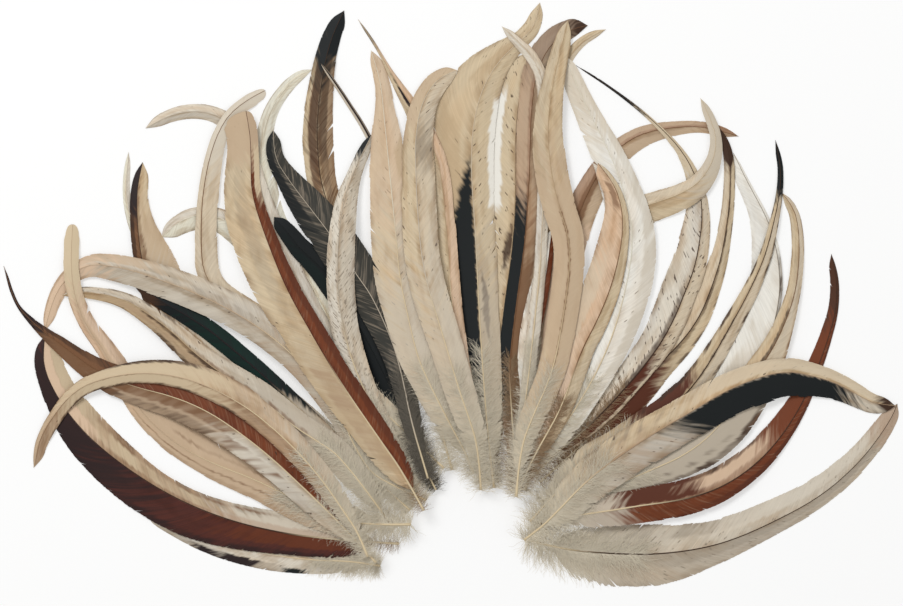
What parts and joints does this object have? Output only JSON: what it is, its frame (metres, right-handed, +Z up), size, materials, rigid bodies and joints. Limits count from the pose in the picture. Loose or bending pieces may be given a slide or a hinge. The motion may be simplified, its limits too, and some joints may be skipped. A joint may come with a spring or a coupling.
{
  "type": "strung rooster tail feathers",
  "caption": "Loose horseshoe fan of long curved rooster tail feathers lying flat, quills together and tips outwards, for trimming, millinery and craft work.",
  "frame": {"origin": "middle of the fan's box in plan, on the surface that the feathers lie on", "axes": "+Z up off the surface, +X along the fan's span to the right, +Y from the quills towards the middle tips"},
  "size_m": [0.4484, 0.2933, 0.0139],
  "materials": {
    "ivory_feather": "soft, slightly glossy barbs",
    "cream_feather": "soft, slightly glossy barbs",
    "tan_feather": "soft, slightly glossy barbs",
    "peach_feather": "soft, slightly glossy barbs",
    "ash_feather": "soft, slightly glossy barbs",
    "brown_feather": "soft, slightly glossy barbs",
    "rust_feather": "soft, slightly glossy barbs",
    "umber_feather": "soft, slightly glossy barbs",
    "mahogany_feather": "soft, slightly glossy barbs",
    "charcoal_feather": "soft, slightly glossy barbs",
    "black_feather": "glossy barbs with a green sheen"
  },
  "bodies": {
    "root": {"pale_leaf_feather": "ivory_feather", "pale_thin_feather": "ivory_feather", "pale_arch_feather": "ivory_feather", "grey_sickle_feather": "ash_feather", "black_tipped_spear_feather": "umber_feather", "white_under_feather": "ivory_feather", "pale_sweep_feather": "ash_feather", "tan_tip_feather": "tan_feather", "brown_tan_sickle_feather": "brown_feather", "white_right_feather": "ivory_feather", "brown_edged_blade_feather": "tan_feather", "green_black_feather": "black_feather", "black_feather": "black_feather", "mahogany_sickle_feather": "mahogany_feather", "dark_tipped_feather": "cream_feather", "tan_arc_feather": "tan_feather", "tan_strip_feather": "tan_feather", "charcoal_striped_feather": "charcoal_feather", "edge_on_feather": "ash_feather", "wire_tipped_feather": "cream_feather", "rust_right_feather": "rust_feather", "grey_curled_feather": "ash_feather", "dark_edged_tan_feather": "tan_feather", "kinked_tan_feather": "tan_feather", "speckled_tan_feather": "tan_feather", "brown_arch_feather": "brown_feather", "salt_and_pepper_feather": "cream_feather", "pale_speckled_feather": "ivory_feather", "black_vaned_tan_feather": "tan_feather", "broad_tan_feather": "tan_feather", "thin_tipped_tan_feather": "tan_feather", "white_and_rust_feather": "ivory_feather", "peach_feather": "peach_feather", "pale_long_feather": "cream_feather", "rust_and_tan_feather": "rust_feather", "peach_strip_feather": "peach_feather", "cream_strip_feather": "cream_feather", "dark_shafted_tan_feather": "tan_feather", "grey_arch_feather": "ash_feather", "rust_wire_tipped_feather": "rust_feather", "cream_sickle_feather": "cream_feather", "cream_and_black_feather": "cream_feather"}
  },
  "joints": []
}
